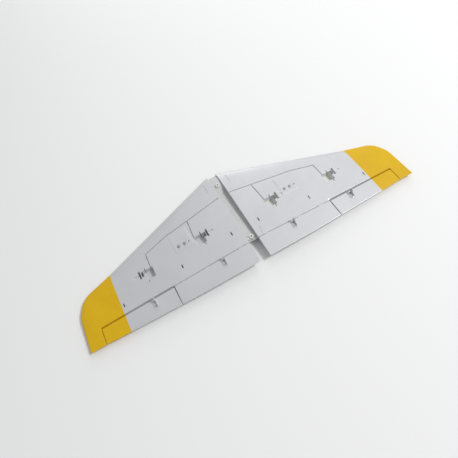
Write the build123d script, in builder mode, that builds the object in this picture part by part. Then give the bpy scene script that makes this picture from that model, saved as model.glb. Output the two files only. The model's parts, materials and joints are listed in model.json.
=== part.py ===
from build123d import *
import math
import os

os.makedirs("parts", exist_ok=True)

# ---------------------------------------------------------------------------
# Main wing set of a foam radio-controlled model aeroplane, lying on its upper
# skin with the underside up.  +X runs along the span (0 on the centreline),
# +Y towards the leading edge, +Z up, away from the surface it lies on.
# Plan positions below are written as (distance from centreline, distance in
# front of the root trailing edge) and shifted by y_mid into the part's frame.
# ---------------------------------------------------------------------------

# planform: distance from centreline, leading edge, trailing edge, thickness scale
stations = [
    (11.0, 242.1, -0.8, 1.0),
    (120.0, 202.3, 0.0, 1.0),
    (292.0, 139.4, 6.0, 1.0),
    (320.0, 130.8, 7.4, 1.0),
    (343.0, 123.7, 8.7, 0.99),
    (353.0, 119.0, 8.6, 0.94),
    (361.4, 112.0, 8.4, 0.86),
    (368.5, 101.0, 8.2, 0.70),
    (373.2, 87.6, 8.1, 0.46),
    (375.0, 73.0, 8.0, 0.24),
]
root_x = 11.0                    # root face, so the halves stand 22 mm apart
y_mid = (242.1 - 0.8) / 2        # puts the origin in the middle of the chord
thick = 0.11                     # section thickness over chord
camber = 0.02                    # camber over chord, greatest at 40 % chord
camber_at = 0.4
te_half = 0.8                    # half thickness of the foam trailing edge
z_level_x = 343.0                # outboard of this the chord line stays level

# control surfaces
hinge_in = (11.0, 45.3)          # hinge line in plan, from root ...
hinge_out = (343.0, 41.8)        # ... to the aileron's outboard end
flap_end = 183.6
aileron_in, aileron_out = 185.4, 342.2
tip_block_in = 343.4
hinge_gap = 0.6                  # foam to foam at the hinge axis
aileron_bevel = 14.0             # degrees, each side
flap_bevel = 22.0                # degrees, each side, above the axis only
aileron_axis_up = 2.6            # axis above the upper skin
flap_axis_down = 1.8             # axis below the underside skin
flap_hinges = (32.0, 110.0, 163.0)
aileron_hinges = (205.0, 264.0, 323.0)

# nylon hinges
leaf_w, leaf_t = 11.6, 0.8
leaf_reach_wing, leaf_reach_surface = 12.0, 9.0
knuckle_r, pin_r = 1.2, 0.5
knuckle_mid = 4.0                # length of the wing leaf's knuckle
knuckle_side = 3.4               # length of each of the surface leaf's knuckles
knuckle_gap = 0.3

# servo pockets: a micro servo lying on its side, 23 x 12.2 x 22.8 mm case
pocket_depth = 12.5
servo_len, servo_high = 23.4, 22.8
lug_len, lug_t, lug_at = 34.2, 3.0, 15.6
hump_w, hump_h = 12.4, 5.2
arm_slot_w, arm_slot_len = 5.2, 19.0
driver_w, driver_len, driver_depth = 4.6, 13.0, 2.2

# spars
spar_y, spar_z = 132.0, 8.5
spar_r, spar_half = 4.0, 148.0
sleeve_r, sleeve_out = 5.0, 150.0
rod_a = (32.3, 81.5, 13.5)       # two points on the rear spar rod
rod_b = (287.2, 60.8, 7.8)
rod_r = 1.5
rod_from, rod_to = 13.0, 300.0
windows = ((32.3, 81.5), (152.0, 72.0), (287.2, 60.8))
window_len, window_w = 9.6, 3.2

# cable channels
channel_w, channel_deep = 2.4, 3.6
channel_main = [(9.0, 173.8), (63.0, 165.8), (100.0, 160.2), (138.5, 154.6),
                (152.2, 153.4), (181.0, 145.6), (208.7, 137.8), (210.0, 106.5)]

# hardpoint plate and its fixings, the same part on both halves
plate_x, plate_y = (108.5, 152.0), (103.0, 152.2)
plate_t = 3.0
plate_gap = 0.12
big_hole_r, small_hole_r = 1.7, 1.5
screw_r, screw_head_r, screw_head_h, screw_len = 1.5, 2.5, 3.2, 12.0

# centre joiner and the two wing bolt sleeves
bolt_front_y, bolt_rear_y = 206.0, 56.0
sleeve_bolt_r, bolt_hole_r = 4.6, 2.25

# control horns
horn_at = {"right_flap": 89.0, "left_flap": -74.5,
           "right_aileron": 230.5, "left_aileron": -230.5}
horn_base = (16.0, 9.0, 1.2)     # along the chord, along the span, thick
horn_t, horn_h = 1.6, 15.0
horn_hole_r = 0.8
horn_screw_r, horn_head_r, horn_head_h = 1.0, 1.9, 1.2
horn_screw_dy = 5.0
back_t = 1.4


def station_values(x):
    """Leading edge, trailing edge and thickness scale at distance x."""
    x = abs(x)
    if x <= stations[0][0]:
        return stations[0][1:]
    for a, b in zip(stations, stations[1:]):
        if x <= b[0]:
            k = (x - a[0]) / (b[0] - a[0])
            return tuple(p + (q - p) * k for p, q in zip(a[1:], b[1:]))
    return stations[-1][1:]


def section(xc):
    """Camber line and half thickness over chord, at xc from the nose."""
    xc = min(max(xc, 0.0), 1.0)
    half = 5 * thick * (0.2969 * math.sqrt(xc) - 0.1260 * xc - 0.3516 * xc ** 2
                        + 0.2843 * xc ** 3 - 0.1036 * xc ** 4)
    if xc < camber_at:
        line = camber / camber_at ** 2 * (2 * camber_at * xc - xc ** 2)
    else:
        line = camber / (1 - camber_at) ** 2 * ((1 - 2 * camber_at) + 2 * camber_at * xc - xc ** 2)
    return line, half


def crest(x):
    """How far the upper skin's crest stands from the chord line."""
    le, te, ts = station_values(x)
    best = 0.0
    for i in range(401):
        xc = i / 400
        line, half = section(xc)
        best = max(best, (line + half) * (le - te) * ts + te_half * xc)
    return best


crest_at = {s[0]: crest(s[0]) for s in stations}


def chord_z(x):
    """Height of the chord line, so that the upper skin's crest lies at 0."""
    x = abs(x)
    if x >= z_level_x:
        return crest_at[z_level_x]
    for a, b in zip(stations, stations[1:]):
        if x <= b[0]:
            k = max(0.0, (x - a[0]) / (b[0] - a[0]))
            return crest_at[a[0]] + (crest_at[b[0]] - crest_at[a[0]]) * k
    return crest_at[z_level_x]


def skin(x, y, side):
    """Height of the underside skin (side 1) or of the upper skin (side -1)."""
    le, te, ts = station_values(x)
    xc = (le - y) / (le - te)
    line, half = section(xc)
    return chord_z(x) - line * (le - te) * ts + side * (half * (le - te) * ts + te_half * xc)


def at(x, y, z):
    """A plan position in the part's frame."""
    return Vector(x, y - y_mid, z)


def hinge_y(x):
    k = (abs(x) - hinge_in[0]) / (hinge_out[0] - hinge_in[0])
    return hinge_in[1] + (hinge_out[1] - hinge_in[1]) * k


def flap_axis_point(x):
    a = (hinge_in[0], skin(hinge_in[0], hinge_y(hinge_in[0]), 1) - flap_axis_down)
    b = (flap_end, skin(flap_end, hinge_y(flap_end), 1) - flap_axis_down)
    k = (abs(x) - a[0]) / (b[0] - a[0])
    return at(x, hinge_y(x), a[1] + (b[1] - a[1]) * k)


def aileron_axis_point(x):
    a = (aileron_in, skin(aileron_in, hinge_y(aileron_in), -1) + aileron_axis_up)
    b = (aileron_out, skin(aileron_out, hinge_y(aileron_out), -1) + aileron_axis_up)
    k = (abs(x) - a[0]) / (b[0] - a[0])
    return at(x, hinge_y(x), a[1] + (b[1] - a[1]) * k)


def hinge_plane(point_at, x, side):
    """Plane across a hinge axis: its normal runs along the axis towards +X,
    its own x axis points forwards and its own y axis points up."""
    here, there = point_at(side * abs(x)), point_at(side * (abs(x) + 10.0))
    along = (there - here).normalized()
    if along.X < 0:
        along = along * -1
    forward = Vector(0, 1, 0)
    forward = (forward - along * forward.dot(along)).normalized()
    return Plane(origin=here, x_dir=forward, z_dir=along)


def surface_profile(kind, gap, far):
    """Corners of the region behind the hinge, in the hinge plane."""
    if kind == "aileron":
        t = math.tan(math.radians(aileron_bevel))
        d = 16.0
        return [(gap - math.copysign(d * t, -gap), d), (gap, 0.0),
                (gap - math.copysign(d * t, -gap), -d), (-far, -d), (-far, d)]
    t = math.tan(math.radians(flap_bevel))
    d = 8.0
    return [(gap - math.copysign(d * t, -gap), d), (gap, 0.0), (gap, -24.0),
            (-far, -24.0), (-far, d)]


def loft_blank(side):
    """The whole half wing, before anything is cut from it."""
    flats = []
    for x, le, te, ts in stations:
        zc, chord = chord_z(x), le - te
        steps = [0.5 * (1 - math.cos(math.pi * i / 19)) for i in range(20)]
        top, low = [], []
        for xc in steps:
            line, half = section(xc)
            mid, th = zc - line * chord * ts, half * chord * ts + te_half * xc
            y = le - xc * chord - y_mid
            top.append((y, mid + th))
            low.append((y, mid - th))
        with BuildSketch(Plane(origin=(side * x, 0, 0), x_dir=(0, 1, 0), z_dir=(1, 0, 0))) as flat:
            with BuildLine():
                Spline(*top)
                Spline(*low)
                Line(top[-1], low[-1])
            make_face()
        flats.append(flat.sketch)
    loft(sections=flats, ruled=True)


def cut_surface_bay(side):
    """Takes the flap and aileron out of the half wing, with their gaps."""
    joint = (flap_end + aileron_in) / 2
    plane = hinge_plane(flap_axis_point, joint, side)
    with BuildSketch(plane) as flat:
        with BuildLine():
            Polyline(*surface_profile("flap", hinge_gap / 2, 70.0), close=True)
        make_face()
    extrude(flat.sketch, amount=-side * 190.0, mode=Mode.SUBTRACT)
    plane = hinge_plane(aileron_axis_point, joint, side)
    with BuildSketch(plane) as flat:
        with BuildLine():
            Polyline(*surface_profile("aileron", hinge_gap / 2, 70.0), close=True)
        make_face()
    extrude(flat.sketch, amount=side * (tip_block_in - joint), mode=Mode.SUBTRACT)


def keep_surface(kind, side):
    """Keeps only the flap or the aileron out of the half wing."""
    if kind == "flap":
        plane = hinge_plane(flap_axis_point, flap_end, side)
        length = -side * 190.0
    else:
        plane = hinge_plane(aileron_axis_point, aileron_in, side)
        length = side * (aileron_out - aileron_in)
    with BuildSketch(plane) as flat:
        with BuildLine():
            Polyline(*surface_profile(kind, -hinge_gap / 2, 70.0), close=True)
        make_face()
    extrude(flat.sketch, amount=length, mode=Mode.INTERSECT)


def cut_hinge_seats(kind, side, on_wing):
    """Slots for the hinge leaves and a round seat about each barrel."""
    point_at = flap_axis_point if kind == "flap" else aileron_axis_point
    reach = leaf_reach_wing if on_wing else leaf_reach_surface
    for x in (flap_hinges if kind == "flap" else aileron_hinges):
        plane = hinge_plane(point_at, x, side)
        with BuildSketch(plane) as flat:
            Circle(knuckle_r + 0.4)
        extrude(flat.sketch, amount=(leaf_w + 1.2) / 2, both=True, mode=Mode.SUBTRACT)
        with BuildSketch(plane) as flat:
            with Locations(((1 if on_wing else -1) * reach / 2, 0)):
                Rectangle(reach, leaf_t)
        extrude(flat.sketch, amount=leaf_w / 2, both=True, mode=Mode.SUBTRACT)


def hinge_leaves(kind, side, on_wing):
    """One leaf of each of the three hinges of a control surface."""
    point_at = flap_axis_point if kind == "flap" else aileron_axis_point
    sign = 1 if on_wing else -1
    reach = leaf_reach_wing if on_wing else leaf_reach_surface
    start = knuckle_r + 0.35
    if on_wing:
        spans = [(-knuckle_mid / 2, knuckle_mid / 2)]
        bore = pin_r
    else:
        a = knuckle_mid / 2 + knuckle_gap
        spans = [(-a - knuckle_side, -a), (a, a + knuckle_side)]
        bore = pin_r + 0.05
    for x in (flap_hinges if kind == "flap" else aileron_hinges):
        plane = hinge_plane(point_at, x, side)
        with BuildSketch(plane) as flat:
            with Locations((sign * (start + reach) / 2, 0)):
                Rectangle(reach - start, leaf_t)
        extrude(flat.sketch, amount=leaf_w / 2, both=True)
        for a, b in spans:
            with BuildSketch(plane.offset(a)) as flat:
                Circle(knuckle_r)
                with Locations((sign * (start + 0.2) / 2, 0)):
                    Rectangle(start + 0.2, leaf_t)
                Circle(bore, mode=Mode.SUBTRACT)
            extrude(flat.sketch, amount=b - a)


def hinge_pins(kind, side):
    point_at = flap_axis_point if kind == "flap" else aileron_axis_point
    for x in (flap_hinges if kind == "flap" else aileron_hinges):
        with BuildSketch(hinge_plane(point_at, x, side)) as flat:
            Circle(pin_r)
        extrude(flat.sketch, amount=leaf_w / 2, both=True)


def cut_servo_pocket(body_x, centre_y, outward):
    """Pocket for a servo on its side.  body_x is the closed end of the case in
    X, outward is +1 or -1, the way along X that the output shaft points."""
    d = outward
    mid_x = body_x + d * servo_high / 2
    floor = skin(mid_x, centre_y, 1) - pocket_depth
    front = centre_y + servo_len / 2
    axis_y = front - hump_w / 2
    with BuildSketch(Plane.XY.offset(floor)) as flat:
        with Locations((mid_x, centre_y - y_mid)):
            Rectangle(servo_high, servo_len)
        with Locations((body_x + d * (lug_at + lug_t / 2), centre_y - y_mid)):
            Rectangle(lug_t, lug_len)
        with Locations((body_x + d * (servo_high + hump_h / 2 - 0.5), axis_y - y_mid)):
            Rectangle(hump_h + 1.0, hump_w)
        with Locations((body_x + d * (servo_high + hump_h + arm_slot_w / 2 - 0.1), axis_y + 1.0 - y_mid)):
            Rectangle(arm_slot_w + 0.2, arm_slot_len)
    extrude(flat.sketch, amount=40.0, mode=Mode.SUBTRACT)
    start = body_x + d * (servo_high + hump_h + arm_slot_w - 1.0)
    with BuildSketch(Plane.XY.offset(floor + pocket_depth - driver_depth)) as flat:
        with Locations((start + d * (driver_len / 2), axis_y - y_mid)):
            SlotOverall(driver_len, driver_w)
    extrude(flat.sketch, amount=30.0, mode=Mode.SUBTRACT)


def cut_channel(points, side):
    """Cable channel that follows the underside skin through plan points."""
    spots = [at(side * x, y, skin(x, y, 1) - channel_deep) for x, y in points]
    for a, b in zip(spots, spots[1:]):
        run = b - a
        along = run.normalized()
        up = Vector(0, 0, 1)
        up = (up - along * up.dot(along)).normalized()
        with BuildSketch(Plane(origin=(a + b) * 0.5, x_dir=along, z_dir=up)) as flat:
            Rectangle(run.length, channel_w)
        extrude(flat.sketch, amount=channel_deep + 5.0, mode=Mode.SUBTRACT)
    for p in spots[1 if points[0][0] < root_x else 0:]:
        with BuildSketch(Plane.XY.offset(p.Z)) as flat:
            with Locations((p.X, p.Y)):
                Circle(channel_w / 2)
        extrude(flat.sketch, amount=channel_deep + 5.0, mode=Mode.SUBTRACT)


def rod_point(x, side):
    k = (x - rod_a[0]) / (rod_b[0] - rod_a[0])
    return at(side * x, rod_a[1] + (rod_b[1] - rod_a[1]) * k, rod_a[2] + (rod_b[2] - rod_a[2]) * k)


def rod_plane(x, side):
    a, b = rod_point(x, side), rod_point(x + 10.0, side)
    return Plane(origin=a, z_dir=(b - a).normalized())


def plate_floor():
    low = min(skin(x, y, 1) for x in plate_x for y in plate_y)
    return low - plate_t + 0.6


def cut_wing_hardware(side):
    """Spar bores, spar windows, root dowel hole and hardpoint recess."""
    with BuildSketch(Plane(origin=at(side * (root_x - 5.0), spar_y, spar_z), x_dir=(0, 1, 0), z_dir=(side, 0, 0))) as flat:
        Circle(sleeve_r + 0.05)
    extrude(flat.sketch, amount=sleeve_out - root_x + 5.3, mode=Mode.SUBTRACT)
    with BuildSketch(rod_plane(rod_from - 1.0, side)) as flat:
        Circle(rod_r + 0.05)
    extrude(flat.sketch, amount=rod_to - rod_from + 2.5, mode=Mode.SUBTRACT)
    for x, y in windows:
        with BuildSketch(Plane.XY.offset(rod_point(x, side).Z - rod_r - 0.6)) as flat:
            with Locations((side * x, y - y_mid)):
                SlotOverall(window_len, window_w, rotation=90)
        extrude(flat.sketch, amount=30.0, mode=Mode.SUBTRACT)
    with BuildSketch(Plane(origin=at(side * (root_x - 1.0), spar_y, spar_z + 10.2), x_dir=(0, 1, 0), z_dir=(side, 0, 0))) as flat:
        Circle(3.0)
    extrude(flat.sketch, amount=16.0, mode=Mode.SUBTRACT)
    with BuildSketch(Plane.XY.offset(plate_floor())) as flat:
        with Locations((side * sum(plate_x) / 2, sum(plate_y) / 2 - y_mid)):
            RectangleRounded(plate_x[1] - plate_x[0] + 2 * plate_gap,
                             plate_y[1] - plate_y[0] + 2 * plate_gap, 2.5 + plate_gap)
    extrude(flat.sketch, amount=30.0, mode=Mode.SUBTRACT)
    for x in plate_screws(side):
        with BuildSketch(Plane.XY.offset(plate_floor())) as flat:
            with Locations((x, plate_row(side) - y_mid)):
                Circle(screw_r + 0.05)
        extrude(flat.sketch, amount=-(screw_len - 1.0), mode=Mode.SUBTRACT)


def plate_screws(side):
    """X of the two fixing screws: the plate is one part, not a mirrored pair."""
    return (120.0, 133.0) if side > 0 else (-139.8, -126.6)


def plate_small_hole(side):
    return 143.3 if side > 0 else -116.6


def plate_row(side):
    return 117.5 if side > 0 else 115.2


def stud_seat(x, side):
    """Height of the flat seat under a fixing screw's head, just below the plate's top."""
    return skin(x, plate_row(side), 1) - 0.5


def horn_frame(name):
    """Seat of a control horn: on the skin, x axis along the span, y axis
    along the skin towards the leading edge."""
    x = horn_at[name]
    kind = name.split("_")[1]
    front = hinge_y(x) - (2.2 if kind == "flap" else 4.2)
    y = front - horn_base[0] / 2
    slope = (skin(x, y + 4, 1) - skin(x, y - 4, 1)) / 8.0
    forward = Vector(0, 1, slope).normalized()
    up = Vector(1, 0, 0).cross(forward)
    return Plane(origin=at(x, y, skin(x, y, 1) - 0.05), x_dir=(1, 0, 0), z_dir=up)


def back_frame(name):
    """Seat of the horn's backplate on the upper skin, facing down."""
    x = horn_at[name]
    kind = name.split("_")[1]
    y = hinge_y(x) - (2.2 if kind == "flap" else 4.2) - horn_base[0] / 2
    slope = (skin(x, y + 4, -1) - skin(x, y - 4, -1)) / 8.0
    forward = Vector(0, 1, slope).normalized()
    down = forward.cross(Vector(1, 0, 0))
    return Plane(origin=at(x, y, skin(x, y, -1) + 0.1), x_dir=(1, 0, 0), z_dir=down)


def back_gap(name):
    """Distance between the two seats, along the horn's own up axis."""
    a, b = horn_frame(name), back_frame(name)
    return abs((a.origin - b.origin).dot(a.z_dir))


def cut_horn_screws(name):
    """Flat seats for the horn and its backplate, and the two screw holes."""
    frame, back = horn_frame(name), back_frame(name)
    for seat in (frame, back):
        with BuildSketch(seat) as flat:
            RectangleRounded(horn_base[1] + 0.2, horn_base[0] + 0.2, 1.6)
        extrude(flat.sketch, amount=6.0, mode=Mode.SUBTRACT)
    with BuildSketch(frame.offset(4.0)) as flat:
        with Locations((0, horn_screw_dy), (0, -horn_screw_dy)):
            Circle(horn_screw_r + 0.05)
    extrude(flat.sketch, amount=-30.0, mode=Mode.SUBTRACT)


def horn_solid(name):
    frame = horn_frame(name)
    with BuildSketch(frame) as flat:
        RectangleRounded(horn_base[1], horn_base[0], 1.5)
        with Locations((0, horn_screw_dy), (0, -horn_screw_dy)):
            Circle(horn_screw_r + 0.08, mode=Mode.SUBTRACT)
    extrude(flat.sketch, amount=horn_base[2])
    fin = Plane(origin=frame.origin, x_dir=frame.y_dir, z_dir=frame.x_dir)
    with BuildSketch(fin.offset(2.2)) as flat:
        with BuildLine():
            Polyline((7.2, 0.6), (7.3, 3.6), (8.4, horn_h - 1.4), (7.4, horn_h), (5.0, horn_h),
                     (3.6, horn_h - 1.8), (0.4, 7.0), (-7.2, 2.4), (-7.2, 0.6), close=True)
        make_face()
        with Locations((6.0, horn_h - 2.2), (5.6, horn_h - 4.8), (5.2, horn_h - 7.4)):
            Circle(horn_hole_r, mode=Mode.SUBTRACT)
    extrude(flat.sketch, amount=horn_t)


def backplate_solid(name):
    with BuildSketch(back_frame(name)) as flat:
        RectangleRounded(horn_base[1], horn_base[0], 1.5)
    extrude(flat.sketch, amount=back_t)
    with BuildSketch(horn_frame(name)) as flat:
        with Locations((0, horn_screw_dy), (0, -horn_screw_dy)):
            Circle(horn_screw_r + 0.04)
    extrude(flat.sketch, amount=-30.0, mode=Mode.SUBTRACT)


def horn_screw_solids(name):
    frame = horn_frame(name)
    length = back_gap(name) + back_t + 1.0
    with BuildSketch(frame.offset(horn_base[2])) as flat:
        with Locations((-0.0, horn_screw_dy), (-0.0, -horn_screw_dy)):
            Circle(horn_head_r)
    extrude(flat.sketch, amount=horn_head_h)
    with BuildSketch(frame.offset(horn_base[2] + 0.2)) as flat:
        with Locations((0, horn_screw_dy), (0, -horn_screw_dy)):
            Circle(horn_screw_r)
    extrude(flat.sketch, amount=-(length + horn_base[2]))


# ----------------------------------------------------------------- half wings
with BuildPart() as right_blank:
    loft_blank(1)

with BuildPart() as left_blank:
    loft_blank(-1)

with BuildPart() as right_wing_panel:
    add(right_blank.part)
    cut_surface_bay(1)
    cut_hinge_seats("flap", 1, True)
    cut_hinge_seats("aileron", 1, True)
    cut_servo_pocket(65.0, 105.6, 1)
    cut_servo_pocket(206.0, 94.7, 1)
    cut_channel(channel_main, 1)
    cut_channel([(63.2, 165.8), (67.5, 116.5)], 1)
    cut_wing_hardware(1)
right_wing_panel.part.label = "right_wing_panel"
export_step(right_wing_panel.part, "parts/right_wing_panel.step")

with BuildPart() as left_wing_panel:
    add(left_blank.part)
    cut_surface_bay(-1)
    cut_hinge_seats("flap", -1, True)
    cut_hinge_seats("aileron", -1, True)
    cut_servo_pocket(-105.5, 105.6, 1)
    cut_servo_pocket(-206.0, 94.7, -1)
    cut_channel([(15.5, 172.9)] + channel_main[1:], -1)
    cut_channel([(99.6, 160.2), (104.2, 116.5)], -1)
    cut_wing_hardware(-1)
left_wing_panel.part.label = "left_wing_panel"
export_step(left_wing_panel.part, "parts/left_wing_panel.step")

# ----------------------------------------------------------- control surfaces
with BuildPart() as right_flap:
    add(right_blank.part)
    keep_surface("flap", 1)
    cut_hinge_seats("flap", 1, False)
    cut_horn_screws("right_flap")
right_flap.part.label = "right_flap"
export_step(right_flap.part, "parts/right_flap.step")

with BuildPart() as left_flap:
    add(left_blank.part)
    keep_surface("flap", -1)
    cut_hinge_seats("flap", -1, False)
    cut_horn_screws("left_flap")
left_flap.part.label = "left_flap"
export_step(left_flap.part, "parts/left_flap.step")

with BuildPart() as right_aileron:
    add(right_blank.part)
    keep_surface("aileron", 1)
    cut_hinge_seats("aileron", 1, False)
    cut_horn_screws("right_aileron")
right_aileron.part.label = "right_aileron"
export_step(right_aileron.part, "parts/right_aileron.step")

with BuildPart() as left_aileron:
    add(left_blank.part)
    keep_surface("aileron", -1)
    cut_hinge_seats("aileron", -1, False)
    cut_horn_screws("left_aileron")
left_aileron.part.label = "left_aileron"
export_step(left_aileron.part, "parts/left_aileron.step")

# --------------------------------------------------------------------- hinges
with BuildPart() as right_flap_wing_leaves:
    hinge_leaves("flap", 1, True)
right_flap_wing_leaves.part.label = "right_flap_wing_leaves"
export_step(right_flap_wing_leaves.part, "parts/right_flap_wing_leaves.step")

with BuildPart() as left_flap_wing_leaves:
    hinge_leaves("flap", -1, True)
left_flap_wing_leaves.part.label = "left_flap_wing_leaves"
export_step(left_flap_wing_leaves.part, "parts/left_flap_wing_leaves.step")

with BuildPart() as right_aileron_wing_leaves:
    hinge_leaves("aileron", 1, True)
right_aileron_wing_leaves.part.label = "right_aileron_wing_leaves"
export_step(right_aileron_wing_leaves.part, "parts/right_aileron_wing_leaves.step")

with BuildPart() as left_aileron_wing_leaves:
    hinge_leaves("aileron", -1, True)
left_aileron_wing_leaves.part.label = "left_aileron_wing_leaves"
export_step(left_aileron_wing_leaves.part, "parts/left_aileron_wing_leaves.step")

with BuildPart() as right_flap_surface_leaves:
    hinge_leaves("flap", 1, False)
right_flap_surface_leaves.part.label = "right_flap_surface_leaves"
export_step(right_flap_surface_leaves.part, "parts/right_flap_surface_leaves.step")

with BuildPart() as left_flap_surface_leaves:
    hinge_leaves("flap", -1, False)
left_flap_surface_leaves.part.label = "left_flap_surface_leaves"
export_step(left_flap_surface_leaves.part, "parts/left_flap_surface_leaves.step")

with BuildPart() as right_aileron_surface_leaves:
    hinge_leaves("aileron", 1, False)
right_aileron_surface_leaves.part.label = "right_aileron_surface_leaves"
export_step(right_aileron_surface_leaves.part, "parts/right_aileron_surface_leaves.step")

with BuildPart() as left_aileron_surface_leaves:
    hinge_leaves("aileron", -1, False)
left_aileron_surface_leaves.part.label = "left_aileron_surface_leaves"
export_step(left_aileron_surface_leaves.part, "parts/left_aileron_surface_leaves.step")

with BuildPart() as right_flap_hinge_pins:
    hinge_pins("flap", 1)
right_flap_hinge_pins.part.label = "right_flap_hinge_pins"
export_step(right_flap_hinge_pins.part, "parts/right_flap_hinge_pins.step")

with BuildPart() as left_flap_hinge_pins:
    hinge_pins("flap", -1)
left_flap_hinge_pins.part.label = "left_flap_hinge_pins"
export_step(left_flap_hinge_pins.part, "parts/left_flap_hinge_pins.step")

with BuildPart() as right_aileron_hinge_pins:
    hinge_pins("aileron", 1)
right_aileron_hinge_pins.part.label = "right_aileron_hinge_pins"
export_step(right_aileron_hinge_pins.part, "parts/right_aileron_hinge_pins.step")

with BuildPart() as left_aileron_hinge_pins:
    hinge_pins("aileron", -1)
left_aileron_hinge_pins.part.label = "left_aileron_hinge_pins"
export_step(left_aileron_hinge_pins.part, "parts/left_aileron_hinge_pins.step")

# ---------------------------------------------------------------- control horns
with BuildPart() as right_flap_horn:
    horn_solid("right_flap")
right_flap_horn.part.label = "right_flap_horn"
export_step(right_flap_horn.part, "parts/right_flap_horn.step")

with BuildPart() as left_flap_horn:
    horn_solid("left_flap")
left_flap_horn.part.label = "left_flap_horn"
export_step(left_flap_horn.part, "parts/left_flap_horn.step")

with BuildPart() as right_aileron_horn:
    horn_solid("right_aileron")
right_aileron_horn.part.label = "right_aileron_horn"
export_step(right_aileron_horn.part, "parts/right_aileron_horn.step")

with BuildPart() as left_aileron_horn:
    horn_solid("left_aileron")
left_aileron_horn.part.label = "left_aileron_horn"
export_step(left_aileron_horn.part, "parts/left_aileron_horn.step")

with BuildPart() as right_flap_horn_backplate:
    backplate_solid("right_flap")
right_flap_horn_backplate.part.label = "right_flap_horn_backplate"
export_step(right_flap_horn_backplate.part, "parts/right_flap_horn_backplate.step")

with BuildPart() as left_flap_horn_backplate:
    backplate_solid("left_flap")
left_flap_horn_backplate.part.label = "left_flap_horn_backplate"
export_step(left_flap_horn_backplate.part, "parts/left_flap_horn_backplate.step")

with BuildPart() as right_aileron_horn_backplate:
    backplate_solid("right_aileron")
right_aileron_horn_backplate.part.label = "right_aileron_horn_backplate"
export_step(right_aileron_horn_backplate.part, "parts/right_aileron_horn_backplate.step")

with BuildPart() as left_aileron_horn_backplate:
    backplate_solid("left_aileron")
left_aileron_horn_backplate.part.label = "left_aileron_horn_backplate"
export_step(left_aileron_horn_backplate.part, "parts/left_aileron_horn_backplate.step")

with BuildPart() as right_flap_horn_screws:
    horn_screw_solids("right_flap")
right_flap_horn_screws.part.label = "right_flap_horn_screws"
export_step(right_flap_horn_screws.part, "parts/right_flap_horn_screws.step")

with BuildPart() as left_flap_horn_screws:
    horn_screw_solids("left_flap")
left_flap_horn_screws.part.label = "left_flap_horn_screws"
export_step(left_flap_horn_screws.part, "parts/left_flap_horn_screws.step")

with BuildPart() as right_aileron_horn_screws:
    horn_screw_solids("right_aileron")
right_aileron_horn_screws.part.label = "right_aileron_horn_screws"
export_step(right_aileron_horn_screws.part, "parts/right_aileron_horn_screws.step")

with BuildPart() as left_aileron_horn_screws:
    horn_screw_solids("left_aileron")
left_aileron_horn_screws.part.label = "left_aileron_horn_screws"
export_step(left_aileron_horn_screws.part, "parts/left_aileron_horn_screws.step")

# ------------------------------------------------------------- centre joiner
# Moulded block that holds the halves root to root: a low web along the chord
# that rises to the skins behind the leading edge.
joiner_top = [(49.0, 12.6), (62.0, 13.6), (186.0, 14.4), (196.0, 18.6), (206.0, 22.4),
              (216.0, 23.4), (228.0, 22.4), (236.5, 19.4)]
joiner_low_y = [236.5, 228.0, 214.0, 196.0, 170.0, 140.0, 110.0, 80.0, 62.0, 49.0]

with BuildPart() as centre_joiner:
    with BuildSketch(Plane(origin=(-root_x, 0, 0), x_dir=(0, 1, 0), z_dir=(1, 0, 0))):
        with BuildLine():
            Polyline(*[(y - y_mid, z) for y, z in joiner_top],
                     *[(y - y_mid, skin(root_x, y, -1) + 1.6) for y in joiner_low_y], close=True)
        make_face()
    extrude(amount=2 * root_x)
    with BuildSketch(Plane.XY.offset(11.0)):
        with Locations((-7.6, 55.0 - y_mid)):
            Rectangle(5.6, 7.0)
    extrude(amount=8.4)
    with BuildSketch(Plane.XY.offset(0.5)):
        with Locations((0, bolt_front_y - y_mid), (0, bolt_rear_y - y_mid)):
            Circle(sleeve_bolt_r + 0.05)
    extrude(amount=40.0, mode=Mode.SUBTRACT)
    with BuildSketch(Plane(origin=at(-root_x - 5.0, spar_y, spar_z), x_dir=(0, 1, 0), z_dir=(1, 0, 0))):
        Circle(spar_r + 0.05)
    extrude(amount=2 * root_x + 10.0, mode=Mode.SUBTRACT)
centre_joiner.part.label = "centre_joiner"
export_step(centre_joiner.part, "parts/centre_joiner.step")

with BuildPart() as front_bolt_sleeve:
    with BuildSketch(Plane.XY.offset(skin(root_x, bolt_front_y, -1) + 1.2)):
        with Locations((0, bolt_front_y - y_mid)):
            Circle(sleeve_bolt_r)
            Circle(bolt_hole_r, mode=Mode.SUBTRACT)
    extrude(amount=skin(root_x, bolt_front_y, 1) - skin(root_x, bolt_front_y, -1) - 1.6)
front_bolt_sleeve.part.label = "front_bolt_sleeve"
export_step(front_bolt_sleeve.part, "parts/front_bolt_sleeve.step")

with BuildPart() as rear_bolt_sleeve:
    with BuildSketch(Plane.XY.offset(skin(root_x, bolt_rear_y, -1) + 1.2)):
        with Locations((0, bolt_rear_y - y_mid)):
            Circle(sleeve_bolt_r)
            Circle(bolt_hole_r, mode=Mode.SUBTRACT)
    extrude(amount=skin(root_x, bolt_rear_y, 1) - skin(root_x, bolt_rear_y, -1) - 1.6)
rear_bolt_sleeve.part.label = "rear_bolt_sleeve"
export_step(rear_bolt_sleeve.part, "parts/rear_bolt_sleeve.step")

# ---------------------------------------------------------------------- spars
with BuildPart() as main_spar_tube:
    with BuildSketch(Plane(origin=at(-spar_half, spar_y, spar_z), x_dir=(0, 1, 0), z_dir=(1, 0, 0))):
        Circle(spar_r)
        Circle(spar_r - 1.0, mode=Mode.SUBTRACT)
    extrude(amount=2 * spar_half)
main_spar_tube.part.label = "main_spar_tube"
export_step(main_spar_tube.part, "parts/main_spar_tube.step")

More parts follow.
